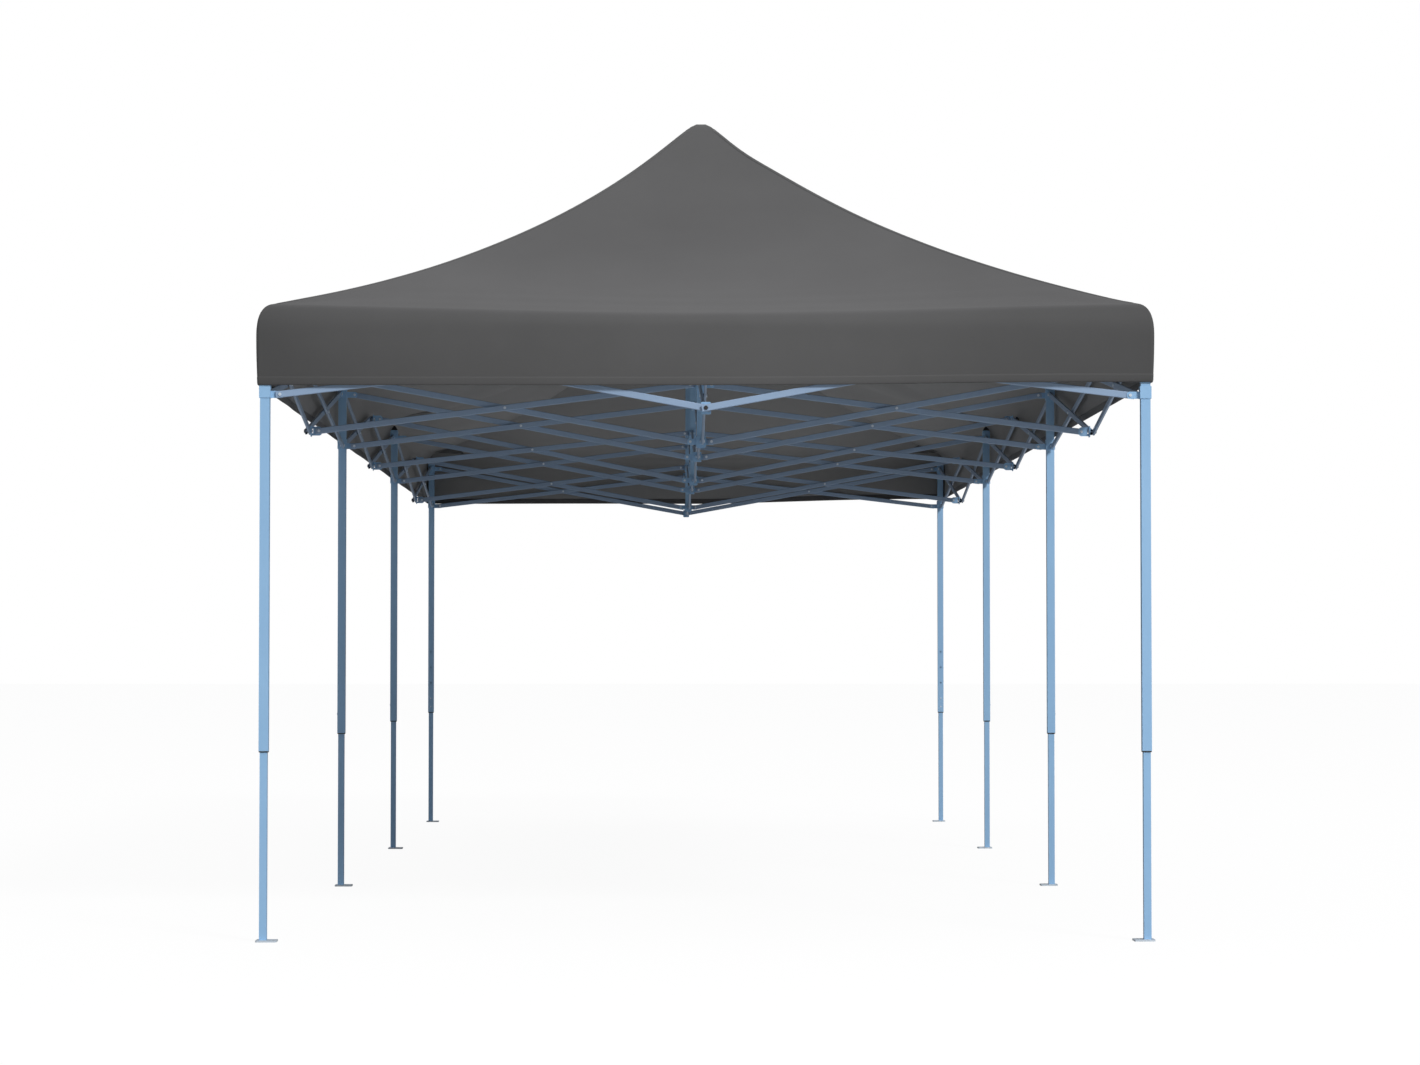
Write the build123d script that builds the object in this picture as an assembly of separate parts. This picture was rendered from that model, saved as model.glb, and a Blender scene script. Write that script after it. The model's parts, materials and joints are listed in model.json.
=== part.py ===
from build123d import *
import os

os.makedirs("parts", exist_ok=True)

# Pop up canopy, three bays long. Origin on the ground at the centre of the footprint,
# +X across the width, +Y along the length, +Z up. All lengths in millimetres.

# ---------------------------------------------------------------- driving dimensions
LEG_SPACING = 2960            # between leg centres, across the width and from pair to pair
BAY = LEG_SPACING / 2         # one scissor pair spans half a leg spacing
COLUMNS = (-BAY, 0, BAY)
STATIONS = [BAY * step for step in range(-3, 4)]

# legs
OUTER_TUBE = 32
OUTER_WALL = 1.0
INNER_TUBE = 25
INNER_WALL = 1.0
OUTER_BOTTOM = 636
OUTER_TOP = 2086
INNER_TOP = 762
HOLE_PITCH = 90
HOLE_COUNT = 4
FIRST_HOLE_Z = 715
BUTTON_R = 4.0
BUTTON_HOLE_R = 4.3

# feet
FOOT_SIZE = 70
FOOT_THICK = 6
FOOT_OFFSET = 12              # the plate reaches further towards the inside of the canopy
PEG_HOLE_R = 4.5
PEG_HOLE_REACH = 30           # from the leg centre to the peg holes
PEG_HOLE_SPACING = 44

# fittings on the legs
COLLAR_TOP = 678
COLLAR_LIP = 4
COLLAR_BORE = 25.8
COLLAR_SIZE = 29.4
RIVET_Z = 667
RIVET_R = 2.3
GUIDE_SIZE = 29.2
GUIDE_TALL = 18
SPIGOT_SIZE = 22.6
BRACKET_SIZE = 37
SLIDER_SIZE = 38
SLEEVE_BORE = 32.6
SLIDER_BOTTOM = 1820
SLIDER_TOP = 1862
LOCK_Z = 1851
CAP_TOP = 2107

# scissor bars
BAR_TALL = 23
BAR_THICK = 9
BAR_WALL = 0.7
BAR_ROUND = 3                  # outer corner radius of the bars
BAR_END = 14                  # bar beyond its end pivot
TAB = 3                       # ear tabs and spacers, between the two layers of bars
LAYER = (TAB + BAR_THICK) / 2
TRUSS_HEIGHT = 215            # lower pivot to upper pivot
LOW_PIVOT_LEG = 1832
LOW_PIVOT_SIDES = (1802, 1828, 1802)   # at stations 1, 3 and 5
LOW_PIVOT_END = 1788
LOW_PIVOT_CENTRE = 1763
LEG_EAR = 50                  # pivot distance from the centre of a leg
HUB_EAR = 40                  # pivot distance from the centre of a centre hub
SIDE_EAR = 42                 # pivot distance inwards from an edge hub
EAR_TALL = 24

# bolts
BOLT_R = 3.0
BOLT_HOLE_R = 3.25
HEAD_R = 5.2
HEAD_THICK = 3.2
NUT_R = 5.8
NUT_THICK = 4.4
SPACER_R = 8
CAP_R = 7.0
CAP_THICK = 4.6

# centre posts
POST_SIZE = 30
POST_WALL = 1.2
POST_BOTTOM = 1740
POST_TOP = 2939
HUB_SIZE = 38
HUB_TALL = 40

# cover
PEAK_Z = 2965
RIDGE_SAG = 68                # the ridge between two peaks
PANEL_SAG = 115               # a roof panel between ridge and eave
PEAK_FLAT = 28                # rounded part of the ridge, to each side
PEAK_DROP = 4
SHOULDER = BAY - 10           # where the cover bends over the leg tops
SHOULDER_Z_LEG = 2131
SHOULDER_Z_OPEN = 2100
EAVE_X = 1502
EAVE_Y = 3 * BAY + 22
EAVE_Z_LEG = 2085
EAVE_Z_OPEN = 2066
VALANCE_BOTTOM = 1863
CLOTH = 1.0
CLOTH_DROP = 1.2              # vertical thickness on the slopes

SIDES = {"left": -1, "right": 1}
LEG_STATIONS = STATIONS[0::2]


# ---------------------------------------------------------------- helpers
def save(solids, name):
    """Write one node; several solids stay separate in it."""
    shape = solids[0] if len(solids) == 1 else Compound(children=solids)
    export_step(shape, f"parts/{name}.step")


def block(x, y, z):
    """Box from three (low, high) pairs."""
    middle = [(low + high) / 2 for low, high in (x, y, z)]
    return Pos(*middle) * Box(x[1] - x[0], y[1] - y[0], z[1] - z[0])


def square_tube(size, bore, bottom, top):
    body = block((-size / 2, size / 2), (-size / 2, size / 2), (bottom, top))
    return body - block((-bore / 2, bore / 2), (-bore / 2, bore / 2), (bottom - 1, top + 1))


def rod(radius, start, end, direction):
    """Cylinder along a direction, between two distances from the plane's origin."""
    plane = Plane(origin=(0, 0, 0), z_dir=direction)
    return plane * Pos(0, 0, (start + end) / 2) * Cylinder(radius, end - start)


def rod_at(point, radius, start, end, direction):
    return Pos(*point) * rod(radius, start, end, direction)


def legs():
    """Name, centre and inward signs of each leg, numbered from the -Y end."""
    for side, sign in SIDES.items():
        for number, y in enumerate(LEG_STATIONS, start=1):
            yield f"{side}_{number}", sign, y


def hole_face(sign, y):
    """Face with the adjustment holes: lengthwise inwards at a corner, outwards on a middle leg."""
    if abs(y) < STATIONS[-1]:
        return (sign, 0, 0)
    return (0, -1, 0) if y > 0 else (0, 1, 0)


# ---------------------------------------------------------------- truss layout
def node_kind(column, station):
    on_edge = column != 1
    if on_edge and station % 2 == 0:
        return "leg"
    if on_edge:
        return "side"
    return "end" if station in (0, 6) else "centre"


def low_pivot(column, station):
    kind = node_kind(column, station)
    if kind == "leg":
        return LOW_PIVOT_LEG
    if kind == "side":
        return LOW_PIVOT_SIDES[station // 2]
    if kind == "end" or station % 2 == 0:
        return LOW_PIVOT_END
    return LOW_PIVOT_CENTRE


def ear_offset(column, station, across):
    """Distance of a truss's end pivot from the hub's centre; 0 where two bars share a bolt."""
    kind = node_kind(column, station)
    if kind == "leg":
        return LEG_EAR
    if kind == "centre":
        return HUB_EAR
    in_line = across if kind == "end" else not across
    return 0 if in_line else SIDE_EAR


class Bay:
    """One scissor pair: two crossing bars between neighbouring hubs."""

    def __init__(self, column, station, across):
        self.across = across
        self.fixed = STATIONS[station] if across else COLUMNS[column]
        far = (column + 1, station) if across else (column, station + 1)
        near_at = COLUMNS[column] if across else STATIONS[station]
        near_ear = ear_offset(column, station, across)
        far_ear = ear_offset(*far, across)
        self.shared = (near_ear == 0, far_ear == 0)
        self.u = (near_at + near_ear, near_at + BAY - far_ear)
        self.low = (low_pivot(column, station), low_pivot(*far))
        self.high = tuple(z + TRUSS_HEIGHT for z in self.low)

    @property
    def normal(self):
        return Vector(0, 1, 0) if self.across else Vector(1, 0, 0)

    def point(self, u, z, off=0):
        if self.across:
            return Vector(u, self.fixed + off, z)
        return Vector(self.fixed + off, u, z)

    def pivots(self):
        """End pivots with the layer of the bar that each one holds."""
        yield 0, self.point(self.u[0], self.high[0]), 1
        yield 0, self.point(self.u[0], self.low[0]), -1
        yield 1, self.point(self.u[1], self.low[1]), 1
        yield 1, self.point(self.u[1], self.high[1]), -1

    def crossing(self):
        fall = self.high[0] - self.low[1]
        rise = self.high[1] - self.low[0]
        along = (self.high[0] - self.low[0]) / (fall + rise)
        u = self.u[0] + along * (self.u[1] - self.u[0])
        return u, self.high[0] - along * fall

    def bars(self):
        cross_u, cross_z = self.crossing()
        ends = ((self.high[0], self.low[1], 1), (self.low[0], self.high[1], -1))
        for z0, z1, layer in ends:
            start = self.point(self.u[0], z0, layer * LAYER)
            end = self.point(self.u[1], z1, layer * LAYER)
            middle = self.point(cross_u, cross_z, layer * LAYER)
            yield scissor_bar(start, end, middle, self.normal)


def scissor_bar(start, end, middle, normal):
    """Hollow bar with its two end holes and its crossing hole."""
    length = (end - start).length
    plane = Plane(origin=start, x_dir=end - start, z_dir=normal)
    span = (-BAR_END, length + BAR_END)
    half_tall, half_thick = BAR_TALL / 2, BAR_THICK / 2
    shape = block(span, (-half_tall, half_tall), (-half_thick, half_thick))
    shape = fillet(shape.edges().filter_by(Axis.X), BAR_ROUND)
    inside_tall, inside_thick = half_tall - BAR_WALL, half_thick - BAR_WALL
    open_span = (span[0] - 1, span[1] + 1)
    hollow = block(open_span, (-inside_tall, inside_tall), (-inside_thick, inside_thick))
    shape -= fillet(hollow.edges().filter_by(Axis.X), BAR_ROUND - BAR_WALL)
    for at in (0, (middle - start).length, length):
        shape -= Pos(at, 0, 0) * Cylinder(BOLT_HOLE_R, BAR_THICK + 2)
    return plane * shape


def all_bays():
    for station in range(7):
        for column in range(2):
            yield Bay(column, station, True)
    for column in range(3):
        for station in range(6):
            yield Bay(column, station, False)


# ---------------------------------------------------------------- bolts
def bolt(point, direction, start, end):
    """Pan head outside start, shank through the stack and the nut at the end."""
    shank = rod_at(point, BOLT_R, start - HEAD_THICK / 2, end + NUT_THICK, direction)
    head = rod_at(point, HEAD_R, start - HEAD_THICK, start, direction)
    return shank + head


def nut(point, direction, start):
    plane = Plane(origin=point, z_dir=direction)
    profile = RegularPolygon(NUT_R, 6) - Circle(BOLT_R)
    return plane * Pos(0, 0, start) * extrude(profile, NUT_THICK)


def spacer(point, direction):
    ring = Cylinder(SPACER_R, TAB) - Cylinder(BOLT_HOLE_R, TAB + 1)
    return Plane(origin=point, z_dir=direction) * ring


def bolt_cap(point, direction, start):
    """Domed plastic cap over a bolt head; it opens towards the bar."""
    dome = Cylinder(CAP_R, CAP_THICK)
    dome = fillet(dome.edges().group_by(Axis.Z)[-1], CAP_THICK * 0.4)
    pocket = Pos(0, 0, (HEAD_THICK + 0.3 - CAP_THICK) / 2) * Cylinder(HEAD_R + 0.2, HEAD_THICK + 0.3)
    cap = Pos(0, 0, start + CAP_THICK / 2) * (dome - pocket)
    return Plane(origin=point, z_dir=direction) * cap


# ---------------------------------------------------------------- ears and hubs
def ear(reach, root, tall, direction, z):
    """Flat tab from a hub's face to just past its pivot, with the pivot hole."""
    plane = Plane(origin=(0, 0, z), x_dir=direction, z_dir=(0, 0, 1))
    tab = block((root, reach + 11), (-TAB / 2, TAB / 2), (-tall / 2, tall / 2))
    corner_edges = tab.edges().filter_by(Axis.Y).group_by(Axis.X)[-1]
    tab = fillet(corner_edges, tall * 0.35)
    tab -= Pos(reach, 0, 0) * Rot(90, 0, 0) * Cylinder(BOLT_HOLE_R, TAB + 2)
    return plane * tab


def leg_directions(sign, y):
    """Directions in which trusses leave a leg."""
    directions = [(-sign, 0, 0)]
    if y > STATIONS[0]:
        directions.append((0, -1, 0))
    if y < STATIONS[-1]:
        directions.append((0, 1, 0))
    return directions


def leg_bracket(size, bottom, top, pivot_z, directions):
    sleeve = square_tube(size, SLEEVE_BORE, bottom, top)
    for direction in directions:
        sleeve += ear(LEG_EAR, size / 2 - 1, EAR_TALL, direction, pivot_z)
    return sleeve


def centre_hub(z):
    hub = square_tube(HUB_SIZE, POST_SIZE + 0.6, z - HUB_TALL / 2, z + HUB_TALL / 2)
    for direction in ((1, 0, 0), (-1, 0, 0), (0, 1, 0), (0, -1, 0)):
        hub += ear(HUB_EAR, HUB_SIZE / 2 - 1, EAR_TALL, direction, z)
    return hub


PLATE_FACE = LAYER + BAR_THICK / 2    # inner face of the two bars on a shared bolt


def edge_hub(direction, z):
    """Plate behind the two bars of an edge truss, with the ear of the inner truss."""
    plate = block((PLATE_FACE, PLATE_FACE + TAB), (-17, 17), (-21, 21))
    plate = fillet(plate.edges().filter_by(Axis.X), 5)
    plate -= Rot(0, 90, 0) * Cylinder(BOLT_HOLE_R, 4 * SIDE_EAR)
    plane = Plane(origin=(0, 0, z), x_dir=direction, z_dir=(0, 0, 1))
    tab = ear(SIDE_EAR, PLATE_FACE + TAB - 0.5, 34, direction, z)
    nut_room = block((PLATE_FACE + TAB - 1, PLATE_FACE + TAB + NUT_THICK + 1.5), (-9, 9), (-8, 8))
    return plane * plate + (tab - plane * nut_room)


# ---------------------------------------------------------------- legs and feet
def outer_leg(sign, y):
    tube = square_tube(OUTER_TUBE, OUTER_TUBE - 2 * OUTER_WALL, OUTER_BOTTOM, OUTER_TOP)
    face = hole_face(sign, y)
    for step in range(HOLE_COUNT):
        hole_at = (0, 0, FIRST_HOLE_Z + step * HOLE_PITCH)
        tube -= rod_at(hole_at, BUTTON_HOLE_R, 10, 20, face)
    tube -= rod_at((0, 0, RIVET_Z), RIVET_R + 0.1, 10, 20, face)
    tube -= rod_at((0, 0, LOCK_Z), BUTTON_HOLE_R, 10, 20, (sign, 0, 0))
    return tube


def end_collar(face):
    sleeve = square_tube(COLLAR_SIZE, COLLAR_BORE, OUTER_BOTTOM, COLLAR_TOP)
    lip = square_tube(OUTER_TUBE - 0.6, COLLAR_BORE, OUTER_BOTTOM - COLLAR_LIP, OUTER_BOTTOM)
    lip = fillet(lip.edges().filter_by(Axis.Z).group_by(SortBy.DISTANCE)[-1], 2)
    return sleeve + lip - rod_at((0, 0, RIVET_Z), RIVET_R + 0.1, 10, 20, face)


def collar_rivet(face):
    outside = OUTER_TUBE / 2
    head = rod_at((0, 0, RIVET_Z), RIVET_R + 1.6, outside, outside + 1.2, face)
    return head + rod_at((0, 0, RIVET_Z), RIVET_R, COLLAR_BORE / 2 + 0.4, outside + 0.5, face)


def inner_leg(face):
    tube = square_tube(INNER_TUBE, INNER_TUBE - 2 * INNER_WALL, FOOT_THICK, INNER_TOP)
    return tube - rod_at((0, 0, FIRST_HOLE_Z), BUTTON_HOLE_R, 5, 20, face)


def leg_guide():
    """Plastic head that steadies the inner tube inside the outer one."""
    half, spigot = GUIDE_SIZE / 2, SPIGOT_SIZE / 2
    head = block((-half, half), (-half, half), (INNER_TOP, INNER_TOP + GUIDE_TALL))
    head = chamfer(head.edges().group_by(Axis.Z)[-1], 1.5)
    return head + block((-spigot, spigot), (-spigot, spigot), (INNER_TOP - 18, INNER_TOP))


def foot_plate(sign):
    half = FOOT_SIZE / 2
    inwards = -sign
    centre_x = inwards * FOOT_OFFSET
    plate = block((centre_x - half, centre_x + half), (-half, half), (0, FOOT_THICK))
    plate = fillet(plate.edges().filter_by(Axis.Z), 6)
    for y in (-PEG_HOLE_SPACING / 2, PEG_HOLE_SPACING / 2):
        plate -= Pos(inwards * PEG_HOLE_REACH, y, FOOT_THICK / 2) * Cylinder(PEG_HOLE_R, 3 * FOOT_THICK)
    return plate


def spring_button(tip, root, z, direction):
    """Round button riveted to a bent leaf spring that sits inside a tube."""
    button = rod(BUTTON_R, root, tip, direction)
    end = button.edges().sort_by(lambda edge: edge.center().dot(Vector(*direction)))[-1]
    button = fillet(end, BUTTON_R * 0.45)
    plane = Plane(origin=(0, 0, 0), x_dir=direction, z_dir=(0, 0, 1))
    leaf = block((root - 0.8, root), (-6, 6), (-30, 9))
    foot = block((root - 8, root), (-6, 6), (-30.8, -30))
    return Pos(0, 0, z) * (button + plane * (leaf + foot))


def top_cap():
    """Plastic cap in the open top of an outer leg, under the cover."""
    low, high = OUTER_TUBE + 1, 8
    bore = OUTER_TUBE / 2 - OUTER_WALL - 0.2
    base = Pos(0, 0, OUTER_TOP) * Rectangle(low, low)
    crown = Pos(0, 0, CAP_TOP) * RectangleRounded(high, high, 2)
    dome = loft([Face(base.wire()), Face(crown.wire())])
    return dome + block((-bore, bore), (-bore, bore), (OUTER_TOP - 14, OUTER_TOP))


def peak_cap():
    socket = POST_SIZE / 2 + 0.2
    cap = Pos(0, 0, POST_TOP - 9) * Cylinder(PEAK_FLAT - 1, 40)
    crown = Pos(0, 0, POST_TOP + 15) * Cone(PEAK_FLAT - 1, 18, 8)
    return cap + crown - block((-socket, socket), (-socket, socket), (POST_TOP - 39, POST_TOP + 0.5))


# ---------------------------------------------------------------- cover
def eave_station(index):
    """One of the seven stations along a side: its y and whether a leg lifts the cover there."""
    return STATIONS[index] / STATIONS[-1] * (LEG_SPACING + SHOULDER), index % 2 == 0


def ridge_height(y):
    along = abs(y) / LEG_SPACING
    return PEAK_Z - 4 * RIDGE_SAG * along * (1 - along)


def slope_height(ridge_z, out, on_leg):
    """Height of a roof panel at a level distance out from the ridge."""
    if out == 0:
        return ridge_z
    down = (out - PEAK_FLAT) / (SHOULDER - PEAK_FLAT)
    top = ridge_z - PEAK_DROP
    foot = SHOULDER_Z_LEG if on_leg else SHOULDER_Z_OPEN
    return top + down * (foot - top) - 4 * PANEL_SAG * down * (1 - down)


def slope_rows():
    steps = 4
    yield 0
    for step in range(steps + 1):
        yield PEAK_FLAT + step / steps * (SHOULDER - PEAK_FLAT)


def side_panel_grid():
    """Rows of points from the ridge down to the eave of the +X side."""
    columns = [eave_station(index) for index in range(7)]
    grid = []
    for out in slope_rows():
        row = []
        for y, on_leg in columns:
            spread = (LEG_SPACING + out) / (LEG_SPACING + SHOULDER)
            ridge_z = ridge_height(y * LEG_SPACING / (LEG_SPACING + SHOULDER))
            row.append(Vector(out, y * spread, slope_height(ridge_z, out, on_leg)))
        grid.append(row)
    grid.append(side_eave())
    return grid


def end_panel_grid():
    """Rows of points from the peak down to the eave of the -Y end."""
    grid = []
    for out in slope_rows():
        row = []
        for across, on_leg in ((-1, True), (0, False), (1, True)):
            height = slope_height(PEAK_Z, out, on_leg)
            row.append(Vector(across * out, -(LEG_SPACING + out), height))
        grid.append(row)
    grid.append(end_eave())
    return grid


def eave_height(on_leg):
    return EAVE_Z_LEG if on_leg else EAVE_Z_OPEN


def side_eave():
    points = []
    for index in range(7):
        y = STATIONS[index] / STATIONS[-1] * EAVE_Y
        points.append(Vector(EAVE_X, y, eave_height(index % 2 == 0)))
    return points


def end_eave():
    corner, middle = eave_height(True), eave_height(False)
    return [Vector(-EAVE_X, -EAVE_Y, corner), Vector(0, -EAVE_Y, middle), Vector(EAVE_X, -EAVE_Y, corner)]


def inside(point, drop):
    x_scale = (EAVE_X - CLOTH) / EAVE_X
    y_scale = (EAVE_Y - CLOTH) / EAVE_Y
    return Vector(point.X * x_scale, point.Y * y_scale, point.Z - drop)


def triangles(a, b, c, d):
    """Two flat faces for four corners, leaving out any that has no area."""
    faces = []
    for corners in ((a, b, c), (a, c, d)):
        p, q, r = corners
        if (q - p).cross(r - p).length > 1e-3:
            faces.append(Face(Wire.make_polygon([p, q, r])))
    return faces


def strip(first, second):
    faces = []
    for index in range(len(first) - 1):
        faces += triangles(first[index], first[index + 1], second[index + 1], second[index])
    return faces


def sheet_solid(outer, drops):
    """Closed thin solid from rows of outer points and each row's vertical thickness."""
    inner = [[inside(point, drop) for point in row] for row, drop in zip(outer, drops)]
    faces = []
    for layer in (outer, inner):
        for upper, lower in zip(layer, layer[1:]):
            faces += strip(upper, lower)
    faces += strip(outer[0], inner[0]) + strip(outer[-1], inner[-1])
    for edge in (0, -1):
        faces += strip([row[edge] for row in outer], [row[edge] for row in inner])
    return Solid(Shell(faces))


def roof_panels():
    side = side_panel_grid()
    end = end_panel_grid()
    right = sheet_solid(side, [CLOTH_DROP] * len(side))
    front = sheet_solid(end, [CLOTH_DROP] * len(end))
    return [front, mirror(front, Plane.XZ), right, mirror(right, Plane.YZ)]


def valance_strips():
    strips = []
    for eave in (end_eave(), side_eave()):
        hem = [Vector(point.X, point.Y, VALANCE_BOTTOM) for point in eave]
        strips.append(sheet_solid([eave, hem], [CLOTH_DROP, 0]))
    front, right = strips
    return [front, mirror(front, Plane.XZ), right, mirror(right, Plane.YZ)]


# ---------------------------------------------------------------- build
def build_legs():
    outer, collars, rivets, brackets, sliders, caps = [], [], [], [], [], []
    for name, sign, y in legs():
        place = Pos(sign * BAY, y, 0)
        directions = leg_directions(sign, y)
        face = hole_face(sign, y)
        outer.append(place * outer_leg(sign, y))
        collars.append(place * end_collar(face))
        rivets.append(place * collar_rivet(face))
        high_pivot = LOW_PIVOT_LEG + TRUSS_HEIGHT
        bracket = leg_bracket(BRACKET_SIZE, high_pivot - 20, OUTER_TOP - 6, high_pivot, directions)
        brackets.append(place * bracket)
        slider = leg_bracket(SLIDER_SIZE, SLIDER_BOTTOM, SLIDER_TOP, LOW_PIVOT_LEG, directions)
        slider -= rod_at((0, 0, LOCK_Z), BUTTON_HOLE_R, 10, 25, (sign, 0, 0))
        sliders.append(place * slider)
        caps.append(place * top_cap())
        save([place * inner_leg(face)], f"inner_leg_{name}")
        save([place * leg_guide()], f"inner_leg_guide_{name}")
        save([place * foot_plate(sign)], f"foot_plate_{name}")
        leg_button = spring_button(OUTER_TUBE / 2 + 3, INNER_TUBE / 2 - 2.6, FIRST_HOLE_Z, face)
        save([place * leg_button], f"leg_snap_button_{name}")
        lock_button = spring_button(SLIDER_SIZE / 2 + 2.5, OUTER_TUBE / 2 - 3, LOCK_Z, (sign, 0, 0))
        save([place * lock_button], f"slider_lock_button_{name}")
    save(outer, "outer_legs")
    save(collars, "leg_end_collars")
    save(rivets, "collar_rivets")
    save(brackets, "leg_top_brackets")
    save(sliders, "leg_sliders")
    save(caps, "leg_top_caps")


def build_trusses():
    bars = {"cross_truss_bars": [], "side_truss_bars": [], "centre_truss_bars": []}
    bolts, nuts, spacers = [], [], []
    half_stack = LAYER + BAR_THICK / 2
    for bay in all_bays():
        line = "cross_truss_bars"
        if not bay.across:
            line = "centre_truss_bars" if bay.fixed == 0 else "side_truss_bars"
        bars[line] += bay.bars()
        crossing = bay.point(*bay.crossing())
        bolts.append(bolt(crossing, bay.normal, -half_stack, half_stack))
        nuts.append(nut(crossing, bay.normal, half_stack))
        spacers.append(spacer(crossing, bay.normal))
        for end, point, layer in bay.pivots():
            if bay.shared[end]:
                continue
            bolts.append(bolt(point, bay.normal * layer, -TAB / 2, half_stack))
            nuts.append(nut(point, bay.normal * layer, half_stack))
    hubs, caps = [], []
    for column, station in edge_middles():
        at_x, at_y = COLUMNS[column], STATIONS[station]
        inwards = Vector(-1, 0, 0) if at_x > 0 else Vector(1, 0, 0)
        if at_x == 0:
            inwards = Vector(0, 1, 0) if at_y < 0 else Vector(0, -1, 0)
        for level in (0, TRUSS_HEIGHT):
            z = low_pivot(column, station) + level
            point = Vector(at_x, at_y, z)
            hubs.append(Pos(at_x, at_y, 0) * edge_hub(inwards, z))
            bolts.append(bolt(point, inwards, -half_stack, half_stack + TAB))
            nuts.append(nut(point, inwards, half_stack + TAB))
            spacers.append(spacer(point, inwards))
            caps.append(bolt_cap(point, inwards * -1, half_stack))
    for name, solids in bars.items():
        save(solids, name)
    save(bolts, "pivot_bolts")
    save(nuts, "pivot_nuts")
    save(spacers, "pivot_spacers")
    save(caps, "bolt_caps")
    save(hubs, "edge_hubs")


def edge_middles():
    for column in range(3):
        for station in range(7):
            if node_kind(column, station) in ("side", "end"):
                yield column, station


def build_centre():
    hubs, posts, caps = [], [], []
    for station in range(1, 6):
        place = Pos(0, STATIONS[station], 0)
        low = low_pivot(1, station)
        hubs += [place * centre_hub(low), place * centre_hub(low + TRUSS_HEIGHT)]
        if station % 2 == 1:
            posts.append(place * square_tube(POST_SIZE, POST_SIZE - 2 * POST_WALL, POST_BOTTOM, POST_TOP))
            caps.append(place * peak_cap())
    save(hubs, "centre_hubs")
    save(posts, "peak_posts")
    save(caps, "peak_caps")


build_legs()
build_trusses()
build_centre()
save(roof_panels(), "canopy_roof")
save(valance_strips(), "canopy_valance")
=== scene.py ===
"""Pop up canopy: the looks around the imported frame. Metres, +Z up, origin on the ground."""
import json
import math

import bmesh
import bpy
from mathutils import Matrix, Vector, noise


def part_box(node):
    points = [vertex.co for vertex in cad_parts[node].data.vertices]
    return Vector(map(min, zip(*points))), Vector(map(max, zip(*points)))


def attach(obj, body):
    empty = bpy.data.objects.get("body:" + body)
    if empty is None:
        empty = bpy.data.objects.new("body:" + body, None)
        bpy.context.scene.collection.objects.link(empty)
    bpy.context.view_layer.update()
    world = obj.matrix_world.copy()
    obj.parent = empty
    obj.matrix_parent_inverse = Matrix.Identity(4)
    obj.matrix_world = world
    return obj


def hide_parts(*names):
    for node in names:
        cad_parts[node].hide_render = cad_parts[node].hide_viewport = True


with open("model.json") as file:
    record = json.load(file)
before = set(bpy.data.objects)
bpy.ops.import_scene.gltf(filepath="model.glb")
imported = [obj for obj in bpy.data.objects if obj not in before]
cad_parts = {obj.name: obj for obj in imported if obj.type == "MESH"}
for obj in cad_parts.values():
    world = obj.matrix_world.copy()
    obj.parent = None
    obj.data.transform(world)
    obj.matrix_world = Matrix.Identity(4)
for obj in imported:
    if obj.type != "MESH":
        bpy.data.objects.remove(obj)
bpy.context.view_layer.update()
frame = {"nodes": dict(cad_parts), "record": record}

# ---------------------------------------------------------------- places read from the frame
SIDES = (-1, 1)                     # left and right, or front and back
FOLD_ABOVE_CAP = 0.0275             # from a leg's cap to the fold in the cloth above it


def middle(node):
    low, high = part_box(node)
    return (low + high) / 2


LEG_X = middle("inner_leg_right_1").x
LEG_YS = [middle(f"inner_leg_right_{number}").y for number in range(1, 5)]
PEAK_YS = [(near + far) / 2 for near, far in zip(LEG_YS, LEG_YS[1:])]
LEG_SPACING = LEG_YS[1] - LEG_YS[0]
COVER_LOW, COVER_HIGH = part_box("canopy_valance")
PEAK_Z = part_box("canopy_roof")[1].z
HEM_Z = COVER_LOW.z
EDGE_X = COVER_HIGH.x
EDGE_Y = COVER_HIGH.y
LEG_TOP_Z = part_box("leg_top_caps")[1].z + FOLD_ABOVE_CAP

# ---------------------------------------------------------------- camera and stage
LENS = 91.6
CAMERA_X = -0.158
CAMERA_BEFORE_LEGS = 12.13
CAMERA_Z = 0.945
CAMERA_YAW = math.radians(-0.81)
CAMERA_PITCH = math.radians(2.0)
KEY_PLACE = (18.5, -35, 23.5)
KEY_TARGET = (0, -1, 1.2)
KEY_SIZE = 9.0
KEY_POWER = 12300
SKY_LOW = (0.06, 0.06, 0.062)
SKY_HALF = (0.27, 0.27, 0.275)
SKY_HALF_AT = 0.35
SKY_TOP = (0.80, 0.80, 0.82)
FLOOR_REACH = 120
FLOOR_GREY = 0.52
FLOOR_GLOW = 1.09                   # of the floor as the camera sees it
FLOOR_GLOW_SHARE = 0.86


def make_camera():
    data = bpy.data.cameras.new("camera")
    data.lens = LENS
    data.sensor_width = 36
    data.clip_end = 200
    camera = bpy.data.objects.new("camera", data)
    camera.location = (CAMERA_X, LEG_YS[0] - CAMERA_BEFORE_LEGS, CAMERA_Z)
    camera.rotation_euler = (math.pi / 2 + CAMERA_PITCH, 0, CAMERA_YAW)
    bpy.context.scene.collection.objects.link(camera)
    bpy.context.scene.camera = camera


def make_key_light():
    data = bpy.data.lights.new("key", "AREA")
    data.size = KEY_SIZE
    data.energy = KEY_POWER
    light = bpy.data.objects.new("key", data)
    light.location = KEY_PLACE
    aim = Vector(KEY_TARGET) - Vector(KEY_PLACE)
    light.rotation_euler = aim.to_track_quat("-Z", "Y").to_euler()
    light.visible_camera = False
    bpy.context.scene.collection.objects.link(light)


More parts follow.
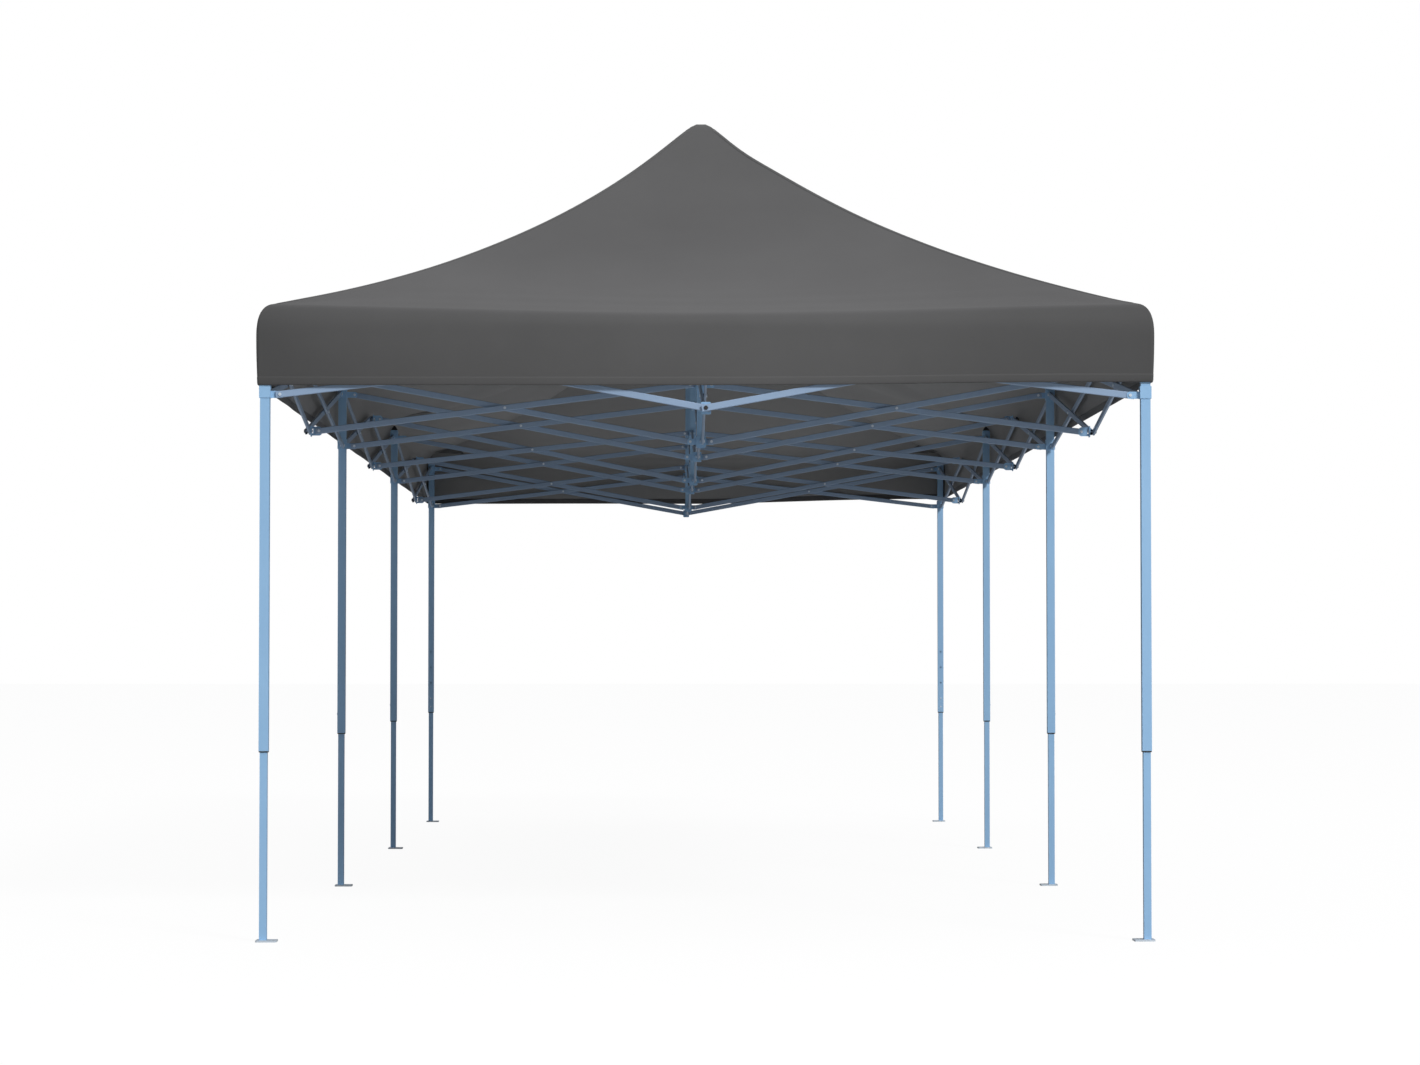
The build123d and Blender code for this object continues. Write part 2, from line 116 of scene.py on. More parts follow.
def make_world():
    """White to the camera; as light, bright overhead and dim near the horizon."""
    world = bpy.data.worlds.new("studio")
    bpy.context.scene.world = world
    world.use_nodes = True
    nodes = world.node_tree.nodes
    links = world.node_tree.links
    nodes.clear()
    place = nodes.new("ShaderNodeTexCoord")
    split = nodes.new("ShaderNodeSeparateXYZ")
    links.new(place.outputs["Generated"], split.inputs[0])
    ramp = nodes.new("ShaderNodeValToRGB")
    stops = ramp.color_ramp.elements
    stops[0].color = (*SKY_LOW, 1)
    stops[1].color = (*SKY_TOP, 1)
    half = stops.new(SKY_HALF_AT)
    half.color = (*SKY_HALF, 1)
    links.new(split.outputs["Z"], ramp.inputs[0])
    lighting = nodes.new("ShaderNodeBackground")
    links.new(ramp.outputs[0], lighting.inputs[0])
    seen = nodes.new("ShaderNodeBackground")
    seen.inputs[0].default_value = (1, 1, 1, 1)
    seen.inputs[1].default_value = 1.0
    path = nodes.new("ShaderNodeLightPath")
    mix = nodes.new("ShaderNodeMixShader")
    links.new(path.outputs["Is Camera Ray"], mix.inputs[0])
    links.new(lighting.outputs[0], mix.inputs[1])
    links.new(seen.outputs[0], mix.inputs[2])
    out = nodes.new("ShaderNodeOutputWorld")
    links.new(mix.outputs[0], out.inputs[0])


def pale_floor():
    """Matt grey as light, nearly white to the camera, so that the ground is seen as plain white."""
    material = bpy.data.materials.new("pale_floor")
    material.use_nodes = True
    nodes = material.node_tree.nodes
    links = material.node_tree.links
    shader = nodes["Principled BSDF"]
    shader.inputs["Base Color"].default_value = (FLOOR_GREY, FLOOR_GREY, FLOOR_GREY, 1)
    shader.inputs["Roughness"].default_value = 0.9
    shader.inputs["Specular IOR Level"].default_value = 0.1
    glow = nodes.new("ShaderNodeEmission")
    glow.inputs[0].default_value = (1, 1, 1, 1)
    glow.inputs[1].default_value = FLOOR_GLOW
    path = nodes.new("ShaderNodeLightPath")
    share = nodes.new("ShaderNodeMath")
    share.operation = "MULTIPLY"
    share.inputs[1].default_value = FLOOR_GLOW_SHARE
    blend = nodes.new("ShaderNodeMixShader")
    links.new(path.outputs["Is Camera Ray"], share.inputs[0])
    links.new(share.outputs[0], blend.inputs[0])
    links.new(shader.outputs[0], blend.inputs[1])
    links.new(glow.outputs[0], blend.inputs[2])
    links.new(blend.outputs[0], nodes["Material Output"].inputs[0])
    return material


def make_floor():
    mesh = bpy.data.meshes.new("floor")
    reach = FLOOR_REACH
    corners = [(-reach, -reach, 0), (reach, -reach, 0), (reach, reach, 0), (-reach, reach, 0)]
    mesh.from_pydata(corners, [], [(0, 1, 2, 3)])
    mesh.materials.append(pale_floor())
    floor = bpy.data.objects.new("floor", mesh)
    floor.location.z = -0.0005
    bpy.context.scene.collection.objects.link(floor)


# ---------------------------------------------------------------- node helpers
class Graph:
    """A material's nodes with short calls for what repeats."""

    def __init__(self, name):
        self.material = bpy.data.materials.new(name)
        self.material.use_nodes = True
        self.nodes = self.material.node_tree.nodes
        self.links = self.material.node_tree.links
        self.shader = self.nodes["Principled BSDF"]
        self.place = self.nodes.new("ShaderNodeTexCoord").outputs["Object"]

    def join(self, source, target):
        self.links.new(source, target)

    def set(self, **values):
        for key, value in values.items():
            self.shader.inputs[key.replace("_", " ")].default_value = value

    def moved(self, scale, place=None):
        node = self.nodes.new("ShaderNodeMapping")
        node.inputs["Scale"].default_value = scale
        self.join(place or self.place, node.inputs["Vector"])
        return node.outputs[0]

    def noise(self, scale, detail=3, rough=0.55, place=None):
        node = self.nodes.new("ShaderNodeTexNoise")
        node.inputs["Scale"].default_value = scale
        node.inputs["Detail"].default_value = detail
        node.inputs["Roughness"].default_value = rough
        self.join(place or self.place, node.inputs["Vector"])
        return node.outputs["Fac"]

    def wave(self, scale, direction, place):
        node = self.nodes.new("ShaderNodeTexWave")
        node.wave_type = "BANDS"
        node.bands_direction = direction
        node.wave_profile = "SIN"
        node.inputs["Scale"].default_value = scale
        self.join(place, node.inputs["Vector"])
        return node.outputs["Fac"]

    def span(self, value, low, high, old=(0, 1)):
        node = self.nodes.new("ShaderNodeMapRange")
        node.inputs["From Min"].default_value = old[0]
        node.inputs["From Max"].default_value = old[1]
        node.inputs["To Min"].default_value = low
        node.inputs["To Max"].default_value = high
        self.join(value, node.inputs["Value"])
        return node.outputs[0]

    def maths(self, operation, first, second):
        node = self.nodes.new("ShaderNodeMath")
        node.operation = operation
        for index, value in enumerate((first, second)):
            if isinstance(value, (int, float)):
                node.inputs[index].default_value = value
            else:
                self.join(value, node.inputs[index])
        return node.outputs[0]

    def mix(self, share, first, second, kind="MIX"):
        node = self.nodes.new("ShaderNodeMix")
        node.data_type = "RGBA"
        node.blend_type = kind
        colours = [socket for socket in node.inputs if socket.type == "RGBA"]
        for socket, value in zip(colours, (first, second)):
            if isinstance(value, tuple):
                socket.default_value = (*value, 1)
            else:
                self.join(value, socket)
        if isinstance(share, (int, float)):
            node.inputs[0].default_value = share
        else:
            self.join(share, node.inputs[0])
        return next(socket for socket in node.outputs if socket.type == "RGBA")

    def bump(self, height, strength, distance, under=None):
        node = self.nodes.new("ShaderNodeBump")
        node.inputs["Strength"].default_value = strength
        node.inputs["Distance"].default_value = distance
        self.join(height, node.inputs["Height"])
        if under is not None:
            self.join(under, node.inputs["Normal"])
        return node.outputs[0]


# ---------------------------------------------------------------- materials
THREAD = 0.0014                     # from one thread of the weave to the next
CLOTH_GREY = (0.080, 0.080, 0.0805)
# painted light: the inner face is the same cloth, made far lighter to stand in for light through it
# and off the floor
INSIDE_GREY_PAINTED_LIGHT = (0.275, 0.276, 0.276)
PATCH_GREY = (0.085, 0.085, 0.084)
CLOTH_DUST = 0.012
SIDE_SHADE = 0.71                   # of the cloth's tone at the edges of the canopy
SIDE_SHADE_FROM = 0.75              # where it starts, out from SIDE_SHADE_X
SIDE_SHADE_X = -0.12
LEG_COAT = ((0.272, 0.482, 0.735), (0.318, 0.542, 0.795))
# painted shade: the truss bars' coat is the legs' paint made darker and greyer
BAR_COAT_PAINTED_SHADE = ((0.255, 0.365, 0.520), (0.298, 0.412, 0.580))
COAT_DUST = (0.50, 0.62, 0.72)
ZINC = ((0.60, 0.70, 0.80), (0.78, 0.85, 0.92))
BLACK = ((0.014, 0.015, 0.017), (0.030, 0.031, 0.034))


def shaded(colour, factor):
    return tuple(value * factor for value in colour)


def oxford_cloth(name, grey):
    """Coated polyester: a plain weave of fine threads, faint slubs and a dull sheen, with painted
    shade that darkens it towards the long sides.
    """
    graph = Graph(name)
    uv = graph.nodes.new("ShaderNodeUVMap").outputs[0]
    warp = graph.wave(math.pi / (10 * THREAD), "X", uv)
    weft = graph.wave(math.pi / (10 * THREAD), "Y", uv)
    weave = graph.maths("MAXIMUM", warp, weft)
    slubs = graph.noise(90, 4, 0.7, graph.moved((1, 6, 1), uv))
    clouds = graph.span(graph.noise(1.3, 5, 0.55), 0, 1, (0.33, 0.67))
    split = graph.nodes.new("ShaderNodeSeparateXYZ")
    graph.join(graph.place, split.inputs[0])
    # painted shade: the tone falls to SIDE_SHADE towards the long sides of the canopy
    side_painted_shade = graph.maths("ABSOLUTE", graph.maths("SUBTRACT", split.outputs["X"], SIDE_SHADE_X), 0)
    side_painted_shade = graph.span(side_painted_shade, 1, SIDE_SHADE, (SIDE_SHADE_FROM, EDGE_X - SIDE_SHADE_X))
    dusty = tuple(value + CLOTH_DUST for value in grey)
    tone = graph.mix(clouds, shaded(grey, 0.93), dusty)
    tone = graph.mix(graph.span(slubs, 0.0, 0.22, (0.45, 0.75)), tone, shaded(grey, 1.35))
    tone = graph.mix(graph.span(weave, 0.0, 0.18), tone, shaded(grey, 0.6))
    graph.join(graph.mix(1.0, tone, side_painted_shade, "MULTIPLY"), graph.shader.inputs["Base Color"])
    graph.join(graph.span(slubs, 0.62, 0.74), graph.shader.inputs["Roughness"])
    folds = graph.bump(graph.noise(6, 5, 0.6), 0.12, 0.004)
    graph.join(graph.bump(weave, 0.35, 0.0001, folds), graph.shader.inputs["Normal"])
    graph.set(Specular_IOR_Level=0.35, Sheen_Weight=0.18, Sheen_Roughness=0.5)
    return graph.material


def powder_coat(name, tones):
    """Powder coat with orange peel, a little dust and paler rubbed spots."""
    graph = Graph(name)
    clouds = graph.noise(3.5, 4, 0.6)
    specks = graph.noise(420, 2, 0.5)
    tone = graph.mix(clouds, *tones)
    tone = graph.mix(graph.span(specks, 0.0, 0.25, (0.62, 0.8)), tone, COAT_DUST)
    graph.join(tone, graph.shader.inputs["Base Color"])
    graph.join(graph.span(clouds, 0.34, 0.46), graph.shader.inputs["Roughness"])
    peel = graph.bump(graph.noise(900, 2, 0.4), 0.10, 0.0003)
    graph.join(graph.bump(specks, 0.05, 0.0003, peel), graph.shader.inputs["Normal"])
    graph.set(Metallic=0.0, Specular_IOR_Level=0.5, Coat_Weight=0.15, Coat_Roughness=0.25)
    return graph.material


def zinc_steel(name):
    """Bright zinc-plated steel: fine grain and a faint patchwork under a pale haze."""
    graph = Graph(name)
    patches = graph.noise(60, 4, 0.65)
    grain = graph.noise(700, 3, 0.6, graph.moved((1, 1, 0.15)))
    graph.join(graph.mix(patches, *ZINC), graph.shader.inputs["Base Color"])
    graph.join(graph.span(grain, 0.28, 0.48), graph.shader.inputs["Roughness"])
    graph.join(graph.bump(grain, 0.12, 0.0002), graph.shader.inputs["Normal"])
    graph.set(Metallic=0.35)
    return graph.material


def black_plastic(name):
    """Moulded nylon with a fine spark-eroded texture and slightly paler dust."""
    graph = Graph(name)
    pits = graph.noise(1500, 2, 0.5)
    dust = graph.noise(25, 4, 0.6)
    graph.join(graph.mix(dust, *BLACK), graph.shader.inputs["Base Color"])
    graph.join(graph.span(dust, 0.42, 0.6), graph.shader.inputs["Roughness"])
    graph.join(graph.bump(pits, 0.2, 0.0002), graph.shader.inputs["Normal"])
    return graph.material


# ---------------------------------------------------------------- cover shape
# OVER_LEG and BETWEEN_LEGS are places round the edge: out from the valance's plane and up from
# the shoulder.
SHOULDER_IN = 0.047                 # where the cloth starts to turn over the edge
SHOULDER = EDGE_X - SHOULDER_IN
OVER_LEG = ((-0.010, -0.0075), (0.0065, -0.0445), (0.0075, -0.1045))
BETWEEN_LEGS = ((-0.020, -0.008), (0.0, -0.018), (0.001, -0.056))
CORNER_RADIUS = 0.005               # of the valance, seen from above
EAVE_SAG = 0.028                    # of the fold half way between two legs
RIDGE_SAG = 0.068                   # half way between two peaks
SAG_FADE = 1.6                      # how fast both fade up and down the slope
RIDGE_ROUND = 0.030
HIP_SAG = {-1: 0.517, 1: 0.422}     # straight hip minus this times t(1 - t), by side
INNER_SAG = 0.48                    # the same for the lines from a peak to the middle legs
SAG_SKEW = 0.224                    # how much more of the sag lies near the peaks
CORNER_LIFT = {-1: 0.005, 1: 0.011}   # of the fold above the corner legs, by side
PANEL_DIP = 0.020                   # extra dip of a panel between its lines
PEAK_LEAN = 0.008                   # rise of the cloth left of a peak, and fall right of it
PEAK_BLUNT = 0.005                  # rounding of the tip itself
PEAK_SPREAD = 0.208                 # how far down the slope both are felt
RIPPLE = 0.0035
LEG_FOLDS = 11                      # in a full turn round a leg
LEG_FOLD_HEIGHT = 0.0022
LEG_FOLD_FADE = 0.45
LEG_FOLD_REACH = (0.03, 1.4)        # from the leg, nearest and farthest
CREASE_HEIGHT = 0.0030
CREASE_PITCH = 0.105
CREASE_IN = 0.13                    # from the shoulder to the deepest crease
HEM_OFFSET = 0.0030                 # out from the plane of the valance
HEM_LIFTS = (0.0038, -0.0115, 0.017)   # of the hem at front left, at back left and on the right
HEM_RIGHT_FROM = 1.3                # where its height on the right is reached
VALANCE_BELLY = 0.003
VALANCE_SWAY = 0.0030
VALANCE_FOLD = 0.0022
CLOTH = 0.0009                      # thickness
ROOF_ROWS = 56                      # of faces from the ridge to the shoulder
EDGE_ROWS = 10                      # round the edge
VALANCE_ROWS = 14
EDGE_STEP = 0.058                   # width of the faces along the edge


def evenly(first, last, count):
    """The ends of count equal steps from first to last."""
    return [first + (last - first) * step / count for step in range(count + 1)]


def level(out):
    """Share of the way down a slope, rounded over at the ridge."""
    rounded = math.hypot(out, RIDGE_ROUND) - RIDGE_ROUND
    return rounded / (math.hypot(SHOULDER, RIDGE_ROUND) - RIDGE_ROUND)


def line_height(t, sag, corner_lift=0.0):
    """Height along a tension line, t being 0 at the peak and 1 at the leg."""
    straight = PEAK_Z + t * (LEG_TOP_Z + corner_lift - PEAK_Z)
    return straight - sag * t * (1 - t) * (1 + SAG_SKEW * (1 - 2 * t))


def hip_line(side):
    return HIP_SAG[side], CORNER_LIFT[side]


def hollow(share):
    """Dip between two tension lines, soft at the lines."""
    return 0.5 * math.sin(math.pi * share) ** 2 + 2 * share * (1 - share)


def between_lines(t, share, lines, to_eave):
    near, far = [line_height(t, *line) for line in lines]
    dip = EAVE_SAG * t ** SAG_FADE if to_eave else RIDGE_SAG * (1 - t) ** SAG_FADE
    dip += PANEL_DIP * 4 * t * (1 - t)
    return near + share * (far - near) - dip * hollow(share)


def lines_at(out):
    """Where the lines between legs and peaks cross a level of a side panel, in order of y."""
    crossings = []
    for index, leg_y in enumerate(LEG_YS):
        for peak_y in PEAK_YS[max(0, index - 1):index + 1]:
            crossings.append(peak_y + (leg_y - peak_y) * out / (LEG_SPACING / 2))
    return crossings


def side_height(out, y, side):
    crossings = lines_at(out)
    last = len(crossings) - 2
    index = 0
    while index < last and y > crossings[index + 1]:
        index += 1
    width = crossings[index + 1] - crossings[index]
    share = min(1, max(0, (y - crossings[index]) / width)) if width > 1e-6 else 0
    ends = [at in (0, last + 1) for at in (index, index + 1)]
    lines = [hip_line(side) if end else (INNER_SAG,) for end in ends]
    return between_lines(level(out), share, lines, to_eave=index % 2 == 0)


def end_height(out, x):
    """Height on an end panel, between its left hip and its right."""
    share = (x / out + 1) / 2 if out > 1e-6 else 0.5
    return between_lines(level(out), share, (hip_line(-1), hip_line(1)), to_eave=True)


def propped(x, y, z):
    """The head of a post keeps the peak blunt, and the cloth leans on it to one side."""
    peak_y = min(PEAK_YS, key=lambda place: abs(y - place))
    reach = (x * x + (y - peak_y) ** 2) / PEAK_SPREAD ** 2
    lift = -PEAK_BLUNT - PEAK_LEAN * x / (math.hypot(x, y - peak_y) + 0.02)
    near = math.exp(-reach)
    drop = PEAK_Z - z + PEAK_BLUNT * (1 - near) - lift * reach * math.e * near
    return PEAK_Z - math.hypot(drop, PEAK_BLUNT) + PEAK_BLUNT


def ripple(x, y):
    """Slow unevenness of stretched cloth."""
    broad = noise.noise(Vector((x * 1.1, y * 0.8, 3.7)))
    fine = noise.noise(Vector((x * 3.7, y * 2.3, 9.1)))
    return RIPPLE * (broad + 0.35 * fine)


def leg_folds(x, y):
    """Fine tension folds that fan out from the leg tops."""
    nearest, farthest = LEG_FOLD_REACH
    total = 0.0
    for leg_y in LEG_YS:
        inwards = LEG_X - abs(x)
        gap = math.hypot(inwards, y - leg_y)
        if nearest < gap < farthest:
            fan = math.sin(LEG_FOLDS * math.atan2(y - leg_y, inwards) + 1.3 * leg_y + 0.8 * x)
            total += fan * math.exp(-gap / LEG_FOLD_FADE) * min(1, gap / 0.15)
    return LEG_FOLD_HEIGHT * total


def eave_creases(out, along):
    """Long shallow creases just above the edge."""
    near = math.exp(-(((SHOULDER - CREASE_IN - out) / 0.14) ** 2))
    fade = max(0.0, noise.noise(Vector((along * 0.7, 2.2, 0.4))) + 0.25)
    sway = 0.03 * noise.noise(Vector((along * 0.8, 7.7, 1.0)))
    return CREASE_HEIGHT * near * fade * math.sin((out + sway) * 2 * math.pi / CREASE_PITCH)


def roof_z(x, y):
    side = 1 if x > 0 else -1
    beyond = abs(y) - PEAK_YS[-1]
    if beyond > abs(x):
        out, along = beyond, x
        z = end_height(out, x)
    else:
        out, along = abs(x), y
        z = side_height(out, y, side)
    z = propped(x, y, z)
    calm = min(1, out / 0.2) * min(1, max(0, (SHOULDER - out) / 0.05))
    hip = min(1, abs(beyond - abs(x)) / 0.12)
    return z + calm * (ripple(x, y) + leg_folds(x, y) + hip * eave_creases(out, along))


def edge_places(half):
    """Places along one edge of the cover, closer together near its corners."""
    near = [CORNER_RADIUS * share for share in (0, 0.25, 0.5, 0.75, 1, 1.6, 2.6, 4)]
    inner = half - near[-1]
    places = [gap - half for gap in near[:-1]]
    places += evenly(-inner, inner, round(inner * 2 / EDGE_STEP))
    return places + [half - gap for gap in near[-2:0:-1]]


def columns():
    """Each column of the cover as (kind, side, place on the edge), once round the cover."""
    for side in SIDES:
        for place in edge_places(EDGE_X):
            yield "end", side, place * -side
        for place in edge_places(EDGE_Y):
            yield "side", -side, place * -side


def edge_frame(kind, side, place):
    """Point on the rounded outline of the valance and the direction outwards from it."""
    half = EDGE_X if kind == "end" else EDGE_Y
    gap = half - abs(place)
    turn = math.radians(45) * max(0, 1 - gap / CORNER_RADIUS)
    inner = half - CORNER_RADIUS
    along = min(abs(place), inner) + CORNER_RADIUS * math.sin(turn)
    along = math.copysign(along, place) if place else 0.0
    back = CORNER_RADIUS * (1 - math.cos(turn))
    slant = math.copysign(math.sin(turn), place)
    if kind == "end":
        return Vector((along, side * (EDGE_Y - back), 0)), Vector((slant, side * math.cos(turn), 0))
    return Vector((side * (EDGE_X - back), along, 0)), Vector((side * math.cos(turn), slant, 0))


def over_leg(kind, place):
    """1 above a leg and 0 half way between two."""
    if kind == "end":
        share = (min(abs(place), LEG_X) / LEG_X + 1) / 2
    else:
        share = (min(abs(place), LEG_YS[-1]) / LEG_SPACING + 0.5) % 1
    return 1 - hollow(share)


def mixed(first, second, share):
    return [a + (b - a) * share for a, b in zip(first, second)]


def hem_height(x, y):
    """The cover sits a little askew: its hem hangs lower on the left and at the back."""
    front_left, back_left, right = HEM_LIFTS
    left = front_left + (back_left - front_left) * (y + EDGE_Y) / (2 * EDGE_Y)
    share = min(1, max(0, x / HEM_RIGHT_FROM))
    lift = left + (right - left) * share * share * (3 - 2 * share)
    return HEM_Z + lift + 0.0016 * noise.noise(Vector((y * 1.7, x * 1.7, 4.4)))


def valance_offset(depth, along, leg, top):
    """How far the valance stands out; depth is 0 at its top and 1 at the hem."""
    straight = top + (HEM_OFFSET - top) * depth ** 1.5
    belly = VALANCE_BELLY * math.sin(math.pi * depth)
    sway = VALANCE_SWAY * noise.noise(Vector((along * 0.9, depth * 0.8, 5.5)))
    folds = VALANCE_FOLD * noise.noise(Vector((along * 3.1, depth * 0.5, 1.9)))
    return straight + (belly + (sway + folds) * min(1, depth * 3)) * (1 - leg)


def leg_gap(kind, place):
    if kind == "end":
        return abs(abs(place) - LEG_X)
    return min(abs(place - leg_y) for leg_y in LEG_YS)


def cubic(points, t):
    a, b, c, d = points
    s = 1 - t
    return a * s ** 3 + b * 3 * s * s * t + c * 3 * s * t * t + d * t ** 3


def roof_points(kind, side, share):
    """From the ridge to the shoulder; share is the place on the edge, -1 to 1."""
    points = []
    for step in range(ROOF_ROWS + 1):
        out = SHOULDER * (step / ROOF_ROWS) ** 1.1
        if kind == "end":
            x, y = share * out, side * (PEAK_YS[-1] + out)
        else:
            x, y = side * out, share * (PEAK_YS[-1] + out)
        points.append(Vector((x, y, roof_z(x, y))))
    return points


def edge_bends(shoulder, foot, outward, lift):
    """Control points of the cloth's turn from the roof into the valance."""
    bends = [shoulder]
    for over, between in zip(OVER_LEG, BETWEEN_LEGS):
        offset, fall = mixed(between, over, lift)
        bend = foot + outward * offset
        bend.z = shoulder.z + fall
        bends.append(bend)
    return bends


def column_points(kind, side, place):
    """One column from the ridge to the hem."""
    half = EDGE_X if kind == "end" else EDGE_Y
    points = roof_points(kind, side, place / half)
    foot, outward = edge_frame(kind, side, place)
    lift = over_leg(kind, place)
    bends = edge_bends(points[-1], foot, outward, lift)
    points += [cubic(bends, step / EDGE_ROWS) for step in range(1, EDGE_ROWS + 1)]
    top_z = bends[-1].z
    bottom_z = hem_height(foot.x, foot.y)
    top = mixed(BETWEEN_LEGS[-1], OVER_LEG[-1], lift)[0]
    leg = max(0, 1 - leg_gap(kind, place) / 0.25) ** 2
    for step in range(1, VALANCE_ROWS + 1):
        depth = step / VALANCE_ROWS
        point = foot + outward * valance_offset(depth, place + 11 * side, leg, top)
        point.z = top_z + (bottom_z - top_z) * depth
        points.append(point)
    return points


# ---------------------------------------------------------------- cover pieces
WELD = 0.0002                       # points closer than this are one
HEM_PROFILE = (                     # outwards from the cloth and up from its edge
    (-0.0004, 0.0240), (0.0003, 0.0238), (0.0007, 0.0180), (0.0006, 0.0100), (0.0008, 0.0040),
    (0.0001, -0.0020), (-0.0011, -0.0050), (-0.0021, -0.0030), (-0.0022, 0.0050),
    (-0.0018, 0.0120), (-0.0021, 0.0200), (-0.0014, 0.0240), (-0.0004, 0.0240),
)
TRIM_CLOTH = 0.0004                 # thickness of tapes and patches
TAPE_HALF = 0.011                   # half its width
TAPE_PROUD = {-1: 0.0001, -0.55: 0.0006, 0: 0.0006, 0.55: 0.0006, 1: 0.0001}   # by share of TAPE_HALF
TAPE_FROM_PEAK = 0.05
TAPE_FROM_SHOULDER = 0.01
PATCH_REACH = 0.19                  # from the leg
PATCH_DROP = 3.4 * CLOTH            # below the outside of the cloth
PATCH_RINGS = 9
PATCH_STEPS = 24


def axes(places):
    """The axis that the edge follows at each column: 0 for x and 1 for y."""
    return [0 if kind == "end" else 1 for kind, _, _ in places]


def skin(mesh, rows, along=None, closed=False):
    """Faces between rows of points; UVs are metres along and across the rows."""
    layer = mesh.loops.layers.uv.get("cloth") or mesh.loops.layers.uv.new("cloth")
    verts = [[mesh.verts.new(point) for point in row] for row in rows]
    runs = []
    for row in rows:
        run = [0.0]
        for near, far in zip(row, row[1:]):
            run.append(run[-1] + (far - near).length)
        runs.append(run)
    count = len(rows) if closed else len(rows) - 1
    for index in range(count):
        ahead = (index + 1) % len(rows)
        axis = along[index] if along else 0
        for step in range(len(rows[index]) - 1):
            ends = ((index, step), (ahead, step), (ahead, step + 1), (index, step + 1))
            face = mesh.faces.new([verts[row][at] for row, at in ends])
            for loop, (row, at) in zip(face.loops, ends):
                loop[layer].uv = (rows[row][at][axis], runs[row][at])


def finished(mesh, name, materials, thickness=0):
    """A smooth object from a bmesh whose faces look up or out, thickened inwards."""
    bmesh.ops.remove_doubles(mesh, verts=mesh.verts, dist=WELD)
    bmesh.ops.recalc_face_normals(mesh, faces=mesh.faces)
    highest = max(mesh.faces, key=lambda face: face.calc_center_median().z)
    if highest.normal.z < 0:
        bmesh.ops.reverse_faces(mesh, faces=mesh.faces)
    data = bpy.data.meshes.new(name)
    mesh.to_mesh(data)
    mesh.free()
    data.shade_smooth()
    for material in materials:
        data.materials.append(material)
    piece = bpy.data.objects.new(name, data)
    bpy.context.scene.collection.objects.link(piece)
    if thickness:
        solid = piece.modifiers.new("thickness", "SOLIDIFY")
        solid.thickness = thickness
        solid.offset = -1
        solid.material_offset = len(materials) - 1
    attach(piece, "root")
    return piece


def make_cover(outside, inside):
    """The whole cover as one continuous sheet: roof, turned edge and valance."""
    mesh = bmesh.new()
    places = list(columns())
    rows = [column_points(*place) for place in places]
    skin(mesh, rows, axes(places), closed=True)
    cover = finished(mesh, "canopy_cover", (outside, inside), CLOTH)
    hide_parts("canopy_roof", "canopy_valance")
    return cover, rows


def make_hem(rows, material):
    """Folded hem round the bottom of the valance, just proud of the cloth on both sides."""
    mesh = bmesh.new()
    rings = []
    for place, row in zip(columns(), rows):
        _, outward = edge_frame(*place)
        up = (row[-2] - row[-1]).normalized()
        rings.append([row[-1] + outward * offset + up * height for offset, height in HEM_PROFILE])
    skin(mesh, rings, axes(columns()), closed=True)
    return finished(mesh, "valance_hem", (material,))


def tape(points, across):
    """Cross sections of a flat tape that follows the roof along a line of points."""
    rows = []
    for x, y in points:
        row = []
        for share, proud in TAPE_PROUD.items():
            tape_x = x + across[0] * TAPE_HALF * share
            tape_y = y + across[1] * TAPE_HALF * share
            row.append(Vector((tape_x, tape_y, roof_z(tape_x, tape_y) + proud)))
        rows.append(row)
    return rows


def make_seams(material):
    """Sewn tapes over the four hips and along the ridge."""
    mesh = bmesh.new()
    slant = math.sqrt(0.5)
    for side in SIDES:
        for end in SIDES:
            reach = evenly(TAPE_FROM_PEAK, SHOULDER - TAPE_FROM_SHOULDER, 46)
            line = [(side * out, end * (PEAK_YS[-1] + out)) for out in reach]
            skin(mesh, tape(line, (slant * side, -slant * end)))
    for near, far in zip(PEAK_YS, PEAK_YS[1:]):
        line = [(0.0, y) for y in evenly(near + TAPE_FROM_PEAK, far - TAPE_FROM_PEAK, 60)]
        skin(mesh, tape(line, (1, 0)))
    return finished(mesh, "cover_seams", (material,), TRIM_CLOTH)


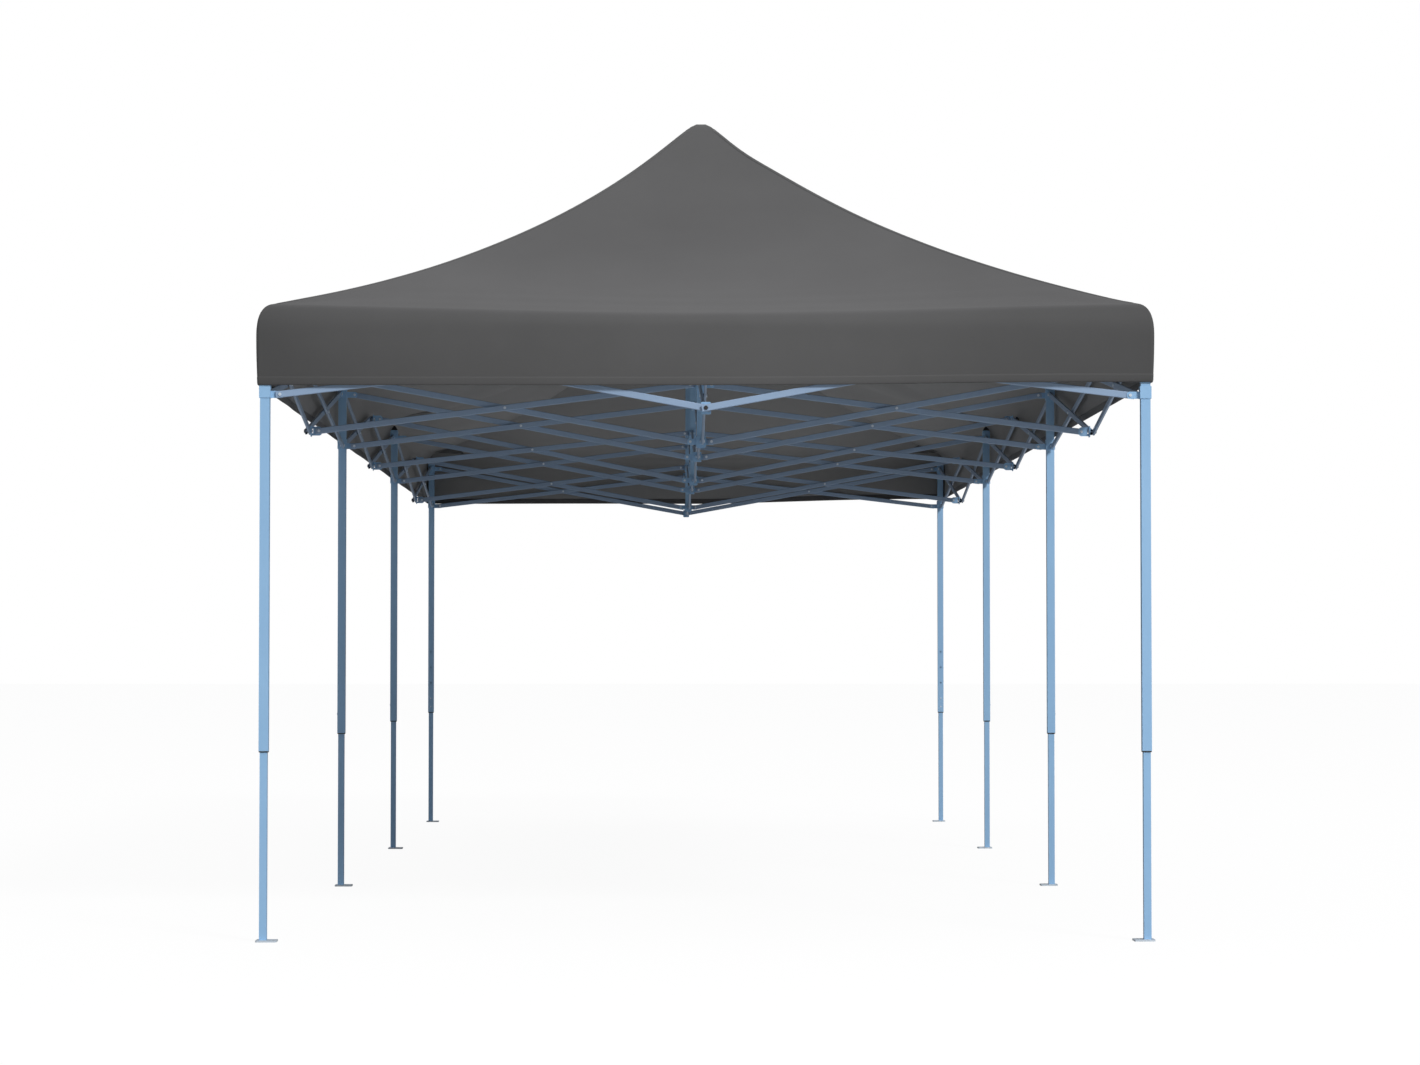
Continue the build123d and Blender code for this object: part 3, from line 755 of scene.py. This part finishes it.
def patch_points(side, leg_y, angle):
    """From a leg outwards in one direction, kept within the level part of the roof."""
    limit = SHOULDER - 0.004
    points = []
    for ring in range(1, PATCH_RINGS + 1):
        reach = PATCH_REACH * ring / PATCH_RINGS
        x = side * min(limit, LEG_X + reach * math.cos(angle))
        y = leg_y + reach * math.sin(angle)
        y = max(-PEAK_YS[-1] - limit, min(PEAK_YS[-1] + limit, y))
        points.append(Vector((x, y, roof_z(x, y) - PATCH_DROP)))
    return points


def make_patches(material):
    """A darker sheet under the roof above each leg."""
    mesh = bmesh.new()
    angles = evenly(math.pi / 2, math.pi * 3 / 2, PATCH_STEPS)
    for side in SIDES:
        for leg_y in LEG_YS:
            skin(mesh, [patch_points(side, leg_y, angle) for angle in angles])
    return finished(mesh, "leg_patches", (material,), TRIM_CLOTH)


# ---------------------------------------------------------------- carried-over nodes
def dress_nodes():
    """Each CAD node gets the procedural material of its record slot; the truss bars get a darker copy
    of the powder coat as painted shade.
    """
    coats = {
        "powder_coat": powder_coat("powder_coat", LEG_COAT),
        "zinc_steel": zinc_steel("zinc_steel"),
        "black_plastic": black_plastic("black_plastic"),
    }
    bar_coat_painted_shade = powder_coat("bar_coat_painted_shade", BAR_COAT_PAINTED_SHADE)
    slots = {part["node"]: part["material_slot"] for part in frame["record"]["subparts"]}
    for name, node in frame["nodes"].items():
        if slots[name] in coats:
            # the truss bars take the darker coat, painted shade
            coat = bar_coat_painted_shade if name.endswith("_truss_bars") else coats[slots[name]]
            node.data.materials.clear()
            node.data.materials.append(coat)


# ---------------------------------------------------------------- the scene
make_camera()
make_world()
make_floor()
bpy.context.scene.view_settings.view_transform = "Standard"
make_key_light()

outside = oxford_cloth("cloth_outside", CLOTH_GREY)
# the inner face carries painted light
inside = oxford_cloth("cloth_inside_painted_light", INSIDE_GREY_PAINTED_LIGHT)
patch = oxford_cloth("cloth_patch", PATCH_GREY)
cover, cover_rows = make_cover(outside, inside)
trims = [make_hem(cover_rows, outside), make_seams(outside), make_patches(patch)]
dress_nodes()
